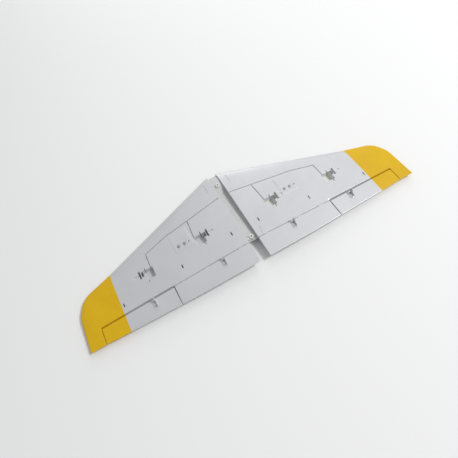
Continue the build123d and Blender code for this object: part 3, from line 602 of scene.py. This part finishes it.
def build_panel(side):
    cuts = panel_cuts(side)
    flap_x, ail_x = x_samples(ROOT, STEP_X, FLAP_HINGES), x_samples(STEP_X, TIP_BLOCK, AIL_HINGES)
    # outline of the nose and tip, from the root's nose round to the tip's trailing corner
    v = np.linspace(1, 0, 34)
    xs = np.concatenate([np.linspace(ROOT, LEVEL_X, 90)[:-1], TIP - 32 * v ** 2])
    nose = np.stack([xs, values(xs)[0]], 1)
    nose[0, 0] = ROOT
    tip_ys = np.linspace(nose[-1, 1], 12.0, 20)[1:]
    tip = np.stack([np.full(len(tip_ys), TIP), tip_ys], 1)
    rim = np.vstack([nose, tip])
    corner_y = 8.0 + np.array(TE_STRIPS[::-1] + [0.0])
    te_x = np.linspace(TIP_BLOCK, 371.0, 9)
    corner_x = TIP - np.array(NOSE[:6][::-1] + [0.0])
    solid = Solid()
    chains = {}
    for skin in (1, -1):
        e_flap = np.array([edge_y(x, "flap", 1, skin) for x in flap_x])
        e_ail = np.array([edge_y(x, "aileron", 1, skin) for x in ail_x])
        te = values(te_x)[1]
        cx = corner_x[(corner_x > 371.0)]
        outline = [tuple(p) for p in rim]
        outline += [(TIP, y) for y in corner_y if y < 11.9]
        outline += [(x, float(values(x)[1])) for x in cx[::-1] if x < TIP - 1e-6]
        outline += [(x, y) for x, y in zip(te_x[::-1], te[::-1])]
        wall_y = np.linspace(te[0], e_ail[-1], 14)[1:-1]
        outline += [(TIP_BLOCK, y) for y in wall_y]
        outline += [(x, y) for x, y in zip(ail_x[::-1], e_ail[::-1])]
        outline += [(x, y) for x, y in zip(flap_x[::-1], e_flap[::-1])]
        root_y = np.linspace(e_flap[0], nose[0, 1], 60)[1:-1]
        outline += [(ROOT, y) for y in root_y]
        plan = Plan()
        for d in NOSE:
            line = offset_path(rim, d)
            line = line[(line[:, 0] > ROOT - 20)]
            if line[0, 0] < ROOT:
                k = np.argmax(line[:, 0] > ROOT)
                a, b = line[k - 1], line[k]
                t = (ROOT - a[0]) / (b[0] - a[0])
                line = np.vstack([a + (b - a) * t, line[k:]])
            else:
                a, b = line[0], line[1]
                line = np.vstack([a + (b - a) * (ROOT - a[0]) / (b[0] - a[0]), line])
            plan.line(line)
        for d in TE_STRIPS:
            plan.line([(x, y + d) for x, y in zip(te_x, te)])
        plan.dots([(x, 8.05 + d) for x in cx if x < TIP - 1e-6 for d in TE_STRIPS])
        for d in ROUND:
            plan.line([(ROOT + d, y) for y in root_y if y < nose[0, 1] - 2])
            plan.line([(TIP_BLOCK + d, y) for y in wall_y])
            plan.line([(x, y + d) for x, y in zip(flap_x, e_flap) if ROOT + 0.05 < x < STEP_X - 1])
            plan.line([(x, y + d) for x, y in zip(ail_x, e_ail) if x > STEP_X + 1])
        cut_list = cuts if skin > 0 else []
        for c in cut_list:
            others = [o for o in cuts if o is not c]
            for level in c.rings:
                for line, closed in contour_lines(c.sd, c.box, c.cell, -level):
                    line, closed = resampled(line, closed, 0.02, c.step)
                    run = []
                    pts = np.vstack([line, line[:1]]) if closed else line
                    # a channel's rings stop inside a pocket, and a pocket's outer ring stops over a channel
                    hide = np.zeros(len(pts), bool)
                    for o in others:
                        s = -o.sd(pts[:, 0], pts[:, 1])
                        deeper = c.name == "channel" and o.name in ("pocket", "groove")
                        deeper |= c.name == "groove" and o.name == "pocket"
                        deeper |= c.name == "line" and o.name in ("channel",)
                        if deeper:
                            hide |= s > o.rim + 0.15
                        elif level < c.rim and o.name in ("channel", "groove") and c.name == "pocket":
                            hide |= s > o.rim
                    for p, gone in zip(pts, hide):
                        if gone:
                            if len(run) > 1:
                                plan.line(run)
                            run = []
                        else:
                            run.append(p)
                    if len(run) > 1:
                        plan.line(run)
        dots = lattice(ROOT + 2.5, TIP - 5, 9.0, 242.0, 4.2)
        le = values(dots[:, 0])[0]
        ok = inside(dots, np.array(outline)) & (le - dots[:, 1] > 15)
        ok &= (dots[:, 0] < TIP - 14) | (dots[:, 1] > 1e9)
        e_line = np.where(dots[:, 0] < STEP_X, np.interp(dots[:, 0], flap_x, e_flap), np.interp(dots[:, 0], ail_x, e_ail))
        ok &= np.where(dots[:, 0] < TIP_BLOCK + 2.4, dots[:, 1] > e_line + 2.4, dots[:, 1] > 12.0)
        tipward = dots[:, 0] > LEVEL_X - 5
        poly = np.array(rim)
        if tipward.any():
            dist = np.min(np.hypot(dots[tipward][:, None, 0] - poly[None, :, 0], dots[tipward][:, None, 1] - poly[None, :, 1]), 1)
            far = np.ones(len(dots), bool)
            far[tipward] = dist > 15
            ok &= far
        for c in cut_list:
            s = c.sd(dots[:, 0], dots[:, 1])
            wide = c.rim + c.draft + c.foot
            ok &= (s > c.rings[0] * -1 + MARGIN) | (s < -(wide + MARGIN))
        plan.dots(dots[ok])
        co, tris = plan.made(outline)
        x, y = co[:, 0], co[:, 1]
        mid, h = middle_and_half(x, y)
        e_at = np.where(x < STEP_X, np.interp(x, flap_x, e_flap), np.interp(x, ail_x, e_ail))
        t = np.minimum(x - ROOT, np.where(x <= TIP_BLOCK + 1e-6, y - e_at, 99.0))
        t = np.minimum(t, np.where((x >= TIP_BLOCK) & (y < e_ail[-1]), x - TIP_BLOCK, 99.0))
        on_step = (np.abs(x - STEP_X) < 1e-3) & (y < e_ail[0] - 0.02)
        by_flap = ((x < STEP_X) & (y - e_at <= x - ROOT + 1e-3)) | on_step
        by_ail = (x >= STEP_X) & (x <= TIP_BLOCK + 1e-6)
        radius = np.where(by_flap, EDGES["flap"], np.where(by_ail, EDGES["aileron"], EDGE_R))
        z = mid + skin * (h - edge_drop(np.clip(t, 0, None), h, radius))
        raw = np.zeros(len(co))
        base = z.copy()
        full = mid + skin * h
        for c in cut_list:
            low = c.lowered(x, y, full)
            z = np.minimum(z, full - low) if c.name != "line" else z - low
            if c.raw:
                raw = np.maximum(raw, np.clip((low - 0.5) / 1.2, 0, 1))
        raw *= 1.0 if side > 0 else 0.38
        edge_used = np.unique(tris)
        solid.add(np.stack([x, y, z], 1), tris if skin > 0 else tris[:, ::-1], raw)
        zz = {tuple(np.round(co[i], 4)): z[i] for i in edge_used}
        chains[skin] = {
            "root": [(co[i][1], z[i]) for i in chain(co, tris, lambda p: abs(p[0] - ROOT) < 1e-4, lambda p: p[1])],
            "wall": [(co[i][1], z[i]) for i in chain(co, tris, lambda p: abs(p[0] - TIP_BLOCK) < 1e-4 and p[1] < e_ail[-1] + 1e-3, lambda p: p[1])],
            "flap_z": [z_at(co, z, edge_used, x0, y0) for x0, y0 in zip(flap_x, e_flap)],
            "ail_z": [z_at(co, z, edge_used, x0, y0) for x0, y0 in zip(ail_x, e_ail)],
        }
    top_f = lambda x: float(np.interp(x, flap_x, chains[1]["flap_z"]))
    low_f = lambda x: float(np.interp(x, flap_x, chains[-1]["flap_z"]))
    top_a = lambda x: float(np.interp(x, ail_x, chains[1]["ail_z"]))
    low_a = lambda x: float(np.interp(x, ail_x, chains[-1]["ail_z"]))
    cols = hinge_columns(flap_x, "flap", 1, FLAP_HINGES, top_f, low_f)
    cols += hinge_columns(ail_x, "aileron", 1, AIL_HINGES, top_a, low_a)
    for c, (xx, ee) in zip((cols,), ((None, None),)):
        pass
    # the column ends must sit exactly on the skins' own edges
    solid.grid(cols, 0.0)
    first, last = cols[0], cols[-1]
    loop = [p for p in chains[1]["root"]] + [p for p in chains[-1]["root"][::-1]][1:]
    loop += [(p[1], p[2]) for p in first[::-1]][1:-1]
    add_wall(solid, ROOT, loop, 0.0, holes=[((132.0, 18.7), 3.0, 14.0), ((132.0, 8.5), 5.05, 5.0)])
    loop = [p for p in chains[1]["wall"]] + [(p[1], p[2]) for p in last][1:-1]
    loop += [p for p in chains[-1]["wall"][::-1]][:-1]
    add_wall(solid, TIP_BLOCK, loop, 0.0)
    return solid


def z_at(co, z, used, x, y):
    sub = co[used]
    i = used[int(np.argmin((sub[:, 0] - x) ** 2 + (sub[:, 1] - y) ** 2))]
    return float(z[i])


def add_wall(solid, x, loop, raw, holes=()):
    """A flat wall across the span, from its (y, z) outline, with round blind holes."""
    loop = [p for k, p in enumerate(loop) if math.dist(p, loop[k - 1]) > 1e-4]
    plan = Plan()
    rings = []
    for (cy, cz), r, deep in holes:
        a = np.linspace(0, 2 * math.pi, 33)[:-1]
        rings.append(np.stack([cy + r * np.cos(a), cz + r * np.sin(a)], 1))
    co, tris = plan.made(loop, rings)
    solid.add(np.stack([np.full(len(co), x), co[:, 0], co[:, 1]], 1), tris, raw)
    for ring, (c, r, deep) in zip(rings, holes):
        n = len(ring)
        a = np.stack([np.full(n, x), ring[:, 0], ring[:, 1]], 1)
        b = a + np.array([deep, 0, 0])
        co = np.vstack([a, b, [[x + deep, c[0], c[1]]]])
        faces = [(k, (k + 1) % n, n + (k + 1) % n, n + k) for k in range(n)]
        faces += [(n + k, n + (k + 1) % n, 2 * n) for k in range(n)]
        solid.add(co, faces, 1.0)


def build_surface(kind):
    """A flap or an aileron."""
    x0, x1 = (ROOT, FLAP_END) if kind == "flap" else (AIL_IN, AIL_OUT)
    hinges = FLAP_HINGES if kind == "flap" else AIL_HINGES
    xs = x_samples(x0, x1, hinges)
    te = values(xs)[1]
    solid = Solid()
    chains = {}
    for skin in (1, -1):
        edge = np.array([edge_y(x, kind, -1, skin) for x in xs])
        y_in, y_out = np.linspace(te[0], edge[0], 18)[1:-1], np.linspace(te[-1], edge[-1], 18)[1:-1]
        outline = [(x, y) for x, y in zip(xs, edge)]
        outline += [(x1, y) for y in y_out[::-1]]
        outline += [(x, y) for x, y in zip(xs[::-1], te[::-1])]
        outline += [(x0, y) for y in y_in]
        plan = Plan()
        for d in TE_STRIPS:
            plan.line([(x, y + d) for x, y in zip(xs, te)])
        for d in ROUND:
            plan.line([(x0 + d, y) for y in y_in])
            plan.line([(x1 - d, y) for y in y_out])
            plan.line([(x, y - d) for x, y in zip(xs, edge) if x0 + 0.05 < x < x1 - 0.05])
        dots = lattice(x0 + 2.6, x1 - 2.6, te.min(), edge.max(), 4.2)
        ok = (dots[:, 1] > np.interp(dots[:, 0], xs, te) + 3.2) & (dots[:, 1] < np.interp(dots[:, 0], xs, edge) - 2.6)
        plan.dots(dots[ok])
        co, tris = plan.made(outline)
        x, y = co[:, 0], co[:, 1]
        mid, h = middle_and_half(x, y)
        t = np.minimum(np.minimum(x - x0, x1 - x), np.interp(x, xs, edge) - y)
        t_ends = np.minimum(x - x0, x1 - x)
        radius = np.where(np.interp(x, xs, edge) - y <= t_ends + 1e-3, EDGES[kind], EDGE_R)
        z = mid + skin * (h - edge_drop(np.clip(t, 0, None), h, radius))
        used = np.unique(tris)
        solid.add(np.stack([x, y, z], 1), tris, 0.0)
        chains[skin] = {
            "in": [(co[i][1], z[i]) for i in chain(co, tris, lambda p: abs(p[0] - x0) < 1e-4, lambda p: p[1])],
            "out": [(co[i][1], z[i]) for i in chain(co, tris, lambda p: abs(p[0] - x1) < 1e-4, lambda p: p[1])],
            "z": [z_at(co, z, used, a, b) for a, b in zip(xs, edge)],
        }
    top = lambda x: float(np.interp(x, xs, chains[1]["z"]))
    low = lambda x: float(np.interp(x, xs, chains[-1]["z"]))
    cols = hinge_columns(xs, kind, -1, hinges, top, low)
    solid.grid(cols, 0.0)
    for name, x, col in (("in", x0, cols[0]), ("out", x1, cols[-1])):
        loop = list(chains[1][name]) + [(p[1], p[2]) for p in col][1:-1]
        loop += list(chains[-1][name][::-1])[:-1]
        add_wall(solid, x, loop, 0.0)
    return solid


# ------------------------------------------------------------------ materials
def new_material(name):
    m = bpy.data.materials.new(name)
    m.use_nodes = True
    nt = m.node_tree
    bsdf = nt.nodes["Principled BSDF"]
    return m, nt, bsdf


def math_node(nt, op, a, b=None, clamp=False):
    n = nt.nodes.new("ShaderNodeMath")
    n.operation = op
    n.use_clamp = clamp
    for i, v in enumerate((a, b)):
        if v is None:
            continue
        if isinstance(v, (int, float)):
            n.inputs[i].default_value = v
        else:
            nt.links.new(v, n.inputs[i])
    return n.outputs[0]


def mix_colour(nt, fac, a, b, mode="MIX"):
    n = nt.nodes.new("ShaderNodeMix")
    n.data_type = "RGBA"
    n.blend_type = mode
    for sock, v in ((n.inputs["Factor"], fac), (n.inputs[6], a), (n.inputs[7], b)):
        if isinstance(v, (int, float)):
            sock.default_value = v
        elif isinstance(v, tuple):
            sock.default_value = (*v, 1.0) if len(v) == 3 else v
        else:
            nt.links.new(v, sock)
    return n.outputs[2]


def noise(nt, vec, scale, detail=2.0, rough=0.5):
    n = nt.nodes.new("ShaderNodeTexNoise")
    n.inputs["Scale"].default_value = scale
    n.inputs["Detail"].default_value = detail
    n.inputs["Roughness"].default_value = rough
    nt.links.new(vec, n.inputs["Vector"])
    return n.outputs["Fac"]


def ramp(nt, fac, stops):
    n = nt.nodes.new("ShaderNodeValToRGB")
    while len(n.color_ramp.elements) < len(stops):
        n.color_ramp.elements.new(0.5)
    for e, (p, c) in zip(n.color_ramp.elements, stops):
        e.position = p
        e.color = (c, c, c, 1) if isinstance(c, (int, float)) else (*c, 1)
    nt.links.new(fac, n.inputs["Fac"])
    return n.outputs["Color"]


def object_coords(nt):
    return nt.nodes.new("ShaderNodeTexCoord").outputs["Object"]


def foam_bump(nt, vec, strength=0.25, scale=300.0):
    """Fused beads under the paint: faint cells about 3 mm across, with a fine skin texture."""
    v = nt.nodes.new("ShaderNodeTexVoronoi")
    v.feature = "SMOOTH_F1"
    v.inputs["Scale"].default_value = scale
    v.inputs["Smoothness"].default_value = 0.35
    nt.links.new(vec, v.inputs["Vector"])
    fine = noise(nt, vec, 1400.0, 2.0, 0.6)
    cells = math_node(nt, "MULTIPLY", v.outputs["Distance"], -1.0)
    total = math_node(nt, "ADD", cells, math_node(nt, "MULTIPLY", fine, 0.25))
    b = nt.nodes.new("ShaderNodeBump")
    b.inputs["Strength"].default_value = strength
    b.inputs["Distance"].default_value = 0.0002
    nt.links.new(total, b.inputs["Height"])
    return b.outputs["Normal"], v


SILVER, SILVER_2 = (0.615, 0.622, 0.640), (0.575, 0.582, 0.600)
YELLOW, YELLOW_2 = (0.705, 0.440, 0.003), (0.655, 0.395, 0.002)
FOAM = (0.74, 0.745, 0.71)


def painted_foam(name="painted_foam", tips=True, raw=True):
    m, nt, bsdf = new_material(name)
    co = object_coords(nt)
    sep = nt.nodes.new("ShaderNodeSeparateXYZ")
    nt.links.new(co, sep.inputs[0])
    mottled = noise(nt, co, 22.0, 3.0, 0.55)
    flakes = noise(nt, co, 2600.0, 1.0, 0.5)
    silver = mix_colour(nt, ramp(nt, mottled, [(0.3, 0.0), (0.7, 1.0)]), SILVER, SILVER_2)
    silver = mix_colour(nt, math_node(nt, "MULTIPLY", flakes, 0.16), silver, (0.80, 0.81, 0.83))
    colour = silver
    metal = 0.30
    bsdf.inputs["Metallic"].default_value = metal
    metal_sock = None
    if tips:
        ax = math_node(nt, "ABSOLUTE", sep.outputs["X"])
        wob = math_node(nt, "MULTIPLY", math_node(nt, "SUBTRACT", noise(nt, co, 400.0, 1.0, 0.5), 0.5), 0.0004)
        edge = math_node(nt, "ADD", ax, wob)
        k = math_node(nt, "MULTIPLY", math_node(nt, "SUBTRACT", edge, 0.2918), 2500.0, clamp=True)
        yellow = mix_colour(nt, ramp(nt, mottled, [(0.3, 0.0), (0.7, 1.0)]), YELLOW, YELLOW_2)
        colour = mix_colour(nt, k, silver, yellow)
        metal_sock = math_node(nt, "MULTIPLY", math_node(nt, "SUBTRACT", 1.0, k), 0.30)
    if raw:
        att = nt.nodes.new("ShaderNodeAttribute")
        att.attribute_name = "raw"
        spray = math_node(nt, "MULTIPLY", math_node(nt, "SUBTRACT", noise(nt, co, 500.0, 2.0, 0.6), 0.5), 0.5)
        r = math_node(nt, "ADD", att.outputs["Fac"], spray)
        r = math_node(nt, "MULTIPLY", math_node(nt, "SUBTRACT", r, 0.3), 2.2, clamp=True)
        foam = mix_colour(nt, ramp(nt, mottled, [(0.3, 0.0), (0.7, 1.0)]), FOAM, (0.69, 0.695, 0.66))
        colour = mix_colour(nt, r, colour, foam)
        keep = math_node(nt, "SUBTRACT", 1.0, r)
        metal_sock = math_node(nt, "MULTIPLY", metal_sock if metal_sock is not None else metal, keep)
        rough = math_node(nt, "ADD", 0.40, math_node(nt, "MULTIPLY", r, 0.35))
    else:
        rough = math_node(nt, "ADD", 0.40, math_node(nt, "MULTIPLY", flakes, 0.08))
    rough = math_node(nt, "ADD", rough, math_node(nt, "MULTIPLY", math_node(nt, "SUBTRACT", mottled, 0.5), 0.08))
    normal, cells = foam_bump(nt, co)
    nt.links.new(colour, bsdf.inputs["Base Color"])
    nt.links.new(rough, bsdf.inputs["Roughness"])
    if metal_sock is not None:
        nt.links.new(metal_sock, bsdf.inputs["Metallic"])
    nt.links.new(normal, bsdf.inputs["Normal"])
    bsdf.inputs["Specular IOR Level"].default_value = 0.35
    return m


def plain(name, colour, second, rough, metal=0.0, scale=300.0, bump=0.1, bump_scale=900.0, dist=0.0001, sss=0.0):
    m, nt, bsdf = new_material(name)
    co = object_coords(nt)
    n = noise(nt, co, scale, 3.0, 0.55)
    nt.links.new(mix_colour(nt, ramp(nt, n, [(0.3, 0.0), (0.7, 1.0)]), colour, second), bsdf.inputs["Base Color"])
    nt.links.new(math_node(nt, "ADD", rough - 0.05, math_node(nt, "MULTIPLY", n, 0.1)), bsdf.inputs["Roughness"])
    bsdf.inputs["Metallic"].default_value = metal
    b = nt.nodes.new("ShaderNodeBump")
    b.inputs["Strength"].default_value = bump
    b.inputs["Distance"].default_value = dist
    nt.links.new(noise(nt, co, bump_scale, 2.0, 0.6), b.inputs["Height"])
    nt.links.new(b.outputs["Normal"], bsdf.inputs["Normal"])
    return m


MAT = {
    "silver_foam": painted_foam(),
    "white_foam": plain("moulded_foam", (0.585, 0.59, 0.58), (0.54, 0.545, 0.535), 0.62, scale=120, bump=0.3,
                        bump_scale=420, dist=0.0003),
    "white_nylon": plain("white_nylon", (0.78, 0.78, 0.76), (0.72, 0.72, 0.70), 0.38, scale=500, bump=0.08),
    "grey_plastic": painted_foam("painted_plate", tips=False, raw=False),
    "carbon": plain("carbon_rod", (0.035, 0.035, 0.037), (0.02, 0.02, 0.022), 0.34, scale=900, bump=0.15,
                    bump_scale=2500),
    "glass_fibre": plain("glass_fibre", (0.66, 0.67, 0.58), (0.60, 0.61, 0.52), 0.45, scale=700, bump=0.15,
                         bump_scale=2200),
    "steel": plain("steel", (0.55, 0.55, 0.56), (0.48, 0.48, 0.49), 0.32, metal=1.0, scale=1500, bump=0.08,
                   bump_scale=3000),
}

slots = {s["node"]: s["material_slot"] for s in frame["record"]["subparts"]}


def set_material(ob, mat):
    ob.data.materials.clear()
    ob.data.materials.append(mat)


for name, ob in nodes.items():
    set_material(ob, MAT["grey_plastic" if name.endswith(("_leaves", "_horn")) else "steel" if "screws" in name
                         else slots[name]])

# ----------------------------------------------------------- panels, surfaces
for side, word in ((1, "right"), (-1, "left")):
    panel = build_panel(side).mesh(f"{word}_panel_foam", side)
    set_material(panel, MAT["silver_foam"])
    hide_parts(f"{word}_wing_panel")
    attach(panel, "wing")
    for kind in ("flap", "aileron"):
        ob = build_surface(kind).mesh(f"{word}_{kind}_foam", side)
        set_material(ob, MAT["silver_foam"])
        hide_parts(f"{word}_{kind}")
        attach(ob, f"{word}_{kind}")


# -------------------------------------------- moulded edges on the CAD nodes
def soften(ob, width, segments=2, angle=32):
    w = ob.modifiers.new("weld", "WELD")
    w.merge_threshold = 1e-6
    b = ob.modifiers.new("edges", "BEVEL")
    b.width = width / 1000
    b.segments = segments
    b.limit_method = "ANGLE"
    b.angle_limit = math.radians(angle)
    b.harden_normals = False
    ob.data.shade_smooth()


for name, ob in nodes.items():
    if ob.hide_render:
        continue
    if name.endswith("_horn"):
        soften(ob, 0.22)
    elif "backplate" in name:
        soften(ob, 0.25)
    elif name.endswith("hardpoint_plate"):
        soften(ob, 0.06)
    elif "bolt_sleeve" in name:
        soften(ob, 0.35)
    elif name == "centre_joiner":
        soften(ob, 0.9, 3)
    elif "screws" in name:
        soften(ob, 0.12)

# --------------------------------------------------------------- camera, stage
scene.view_settings.view_transform = "Standard"
scene.view_settings.look = "None"


def set_camera():
    az, el, dist, roll = math.radians(-15.87), math.radians(60.24), 0.7183, math.radians(-14.6)
    target = Vector((-0.0302, -0.0221, 0.015))
    back = Vector((math.sin(az) * math.cos(el), -math.cos(az) * math.cos(el), math.sin(el)))
    right = (-back).cross(Vector((0, 0, 1))).normalized()
    up = right.cross(-back)
    r2 = right * math.cos(roll) + up * math.sin(roll)
    u2 = -right * math.sin(roll) + up * math.cos(roll)
    m = Matrix((r2, u2, back)).transposed().to_4x4()
    m.translation = target + back * dist
    data = bpy.data.cameras.new("camera")
    data.sensor_width = 36.0
    data.lens = 340.0 / 458.0 * 36.0
    data.clip_start, data.clip_end = 0.01, 50
    cam = bpy.data.objects.new("camera", data)
    cam.matrix_world = m
    scene.collection.objects.link(cam)
    scene.camera = cam


set_camera()

floor_mesh = bpy.data.meshes.new("floor")
floor_mesh.from_pydata([(-6, -6, 0), (6, -6, 0), (6, 6, 0), (-6, 6, 0)], [], [(0, 1, 2, 3)])
floor = bpy.data.objects.new("floor", floor_mesh)
floor.location = (0, 0, -0.0004)
scene.collection.objects.link(floor)
fm, fnt, fb = new_material("floor_card")
far = fnt.nodes.new("ShaderNodeVectorMath")
far.operation = "LENGTH"
fnt.links.new(object_coords(fnt), far.inputs[0])
fnt.links.new(mix_colour(fnt, math_node(fnt, "MULTIPLY", math_node(fnt, "SUBTRACT", far.outputs["Value"], 0.2), 2.0,
                                        clamp=True), (0.85, 0.85, 0.848), (0.85, 0.85, 0.848)), fb.inputs["Base Color"])
fb.inputs["Roughness"].default_value = 0.85
floor_mesh.materials.append(fm)


def area(name, loc, target, size, power, colour=(1, 1, 1)):
    data = bpy.data.lights.new(name, "AREA")
    data.shape = "RECTANGLE"
    data.size, data.size_y = size
    data.energy = power
    data.color = colour
    ob = bpy.data.objects.new(name, data)
    ob.location = loc
    d = Vector(target) - Vector(loc)
    ob.rotation_mode = "QUATERNION"
    ob.rotation_quaternion = d.to_track_quat("-Z", "Y")
    scene.collection.objects.link(ob)
    return ob


area("key", (2.02, -0.88, 2.84), (0.0, 0, 0), (0.75, 0.75), 72.0, (1.0, 0.995, 0.985))
area("sheen", (1.15, 1.45, 1.75), (0.1, 0, 0), (1.9, 1.9), 9.0, (0.99, 0.995, 1.0))
area("nose", (0.7, 2.3, 0.75), (0.0, 0.1, 0), (1.3, 0.8), 9.0, (1.0, 1.0, 1.0))
world = bpy.data.worlds.new("studio")
scene.world = world
world.use_nodes = True
wb = world.node_tree.nodes["Background"]
wb.inputs["Color"].default_value = (0.97, 0.98, 1.0, 1)
wb.inputs["Strength"].default_value = 0.46
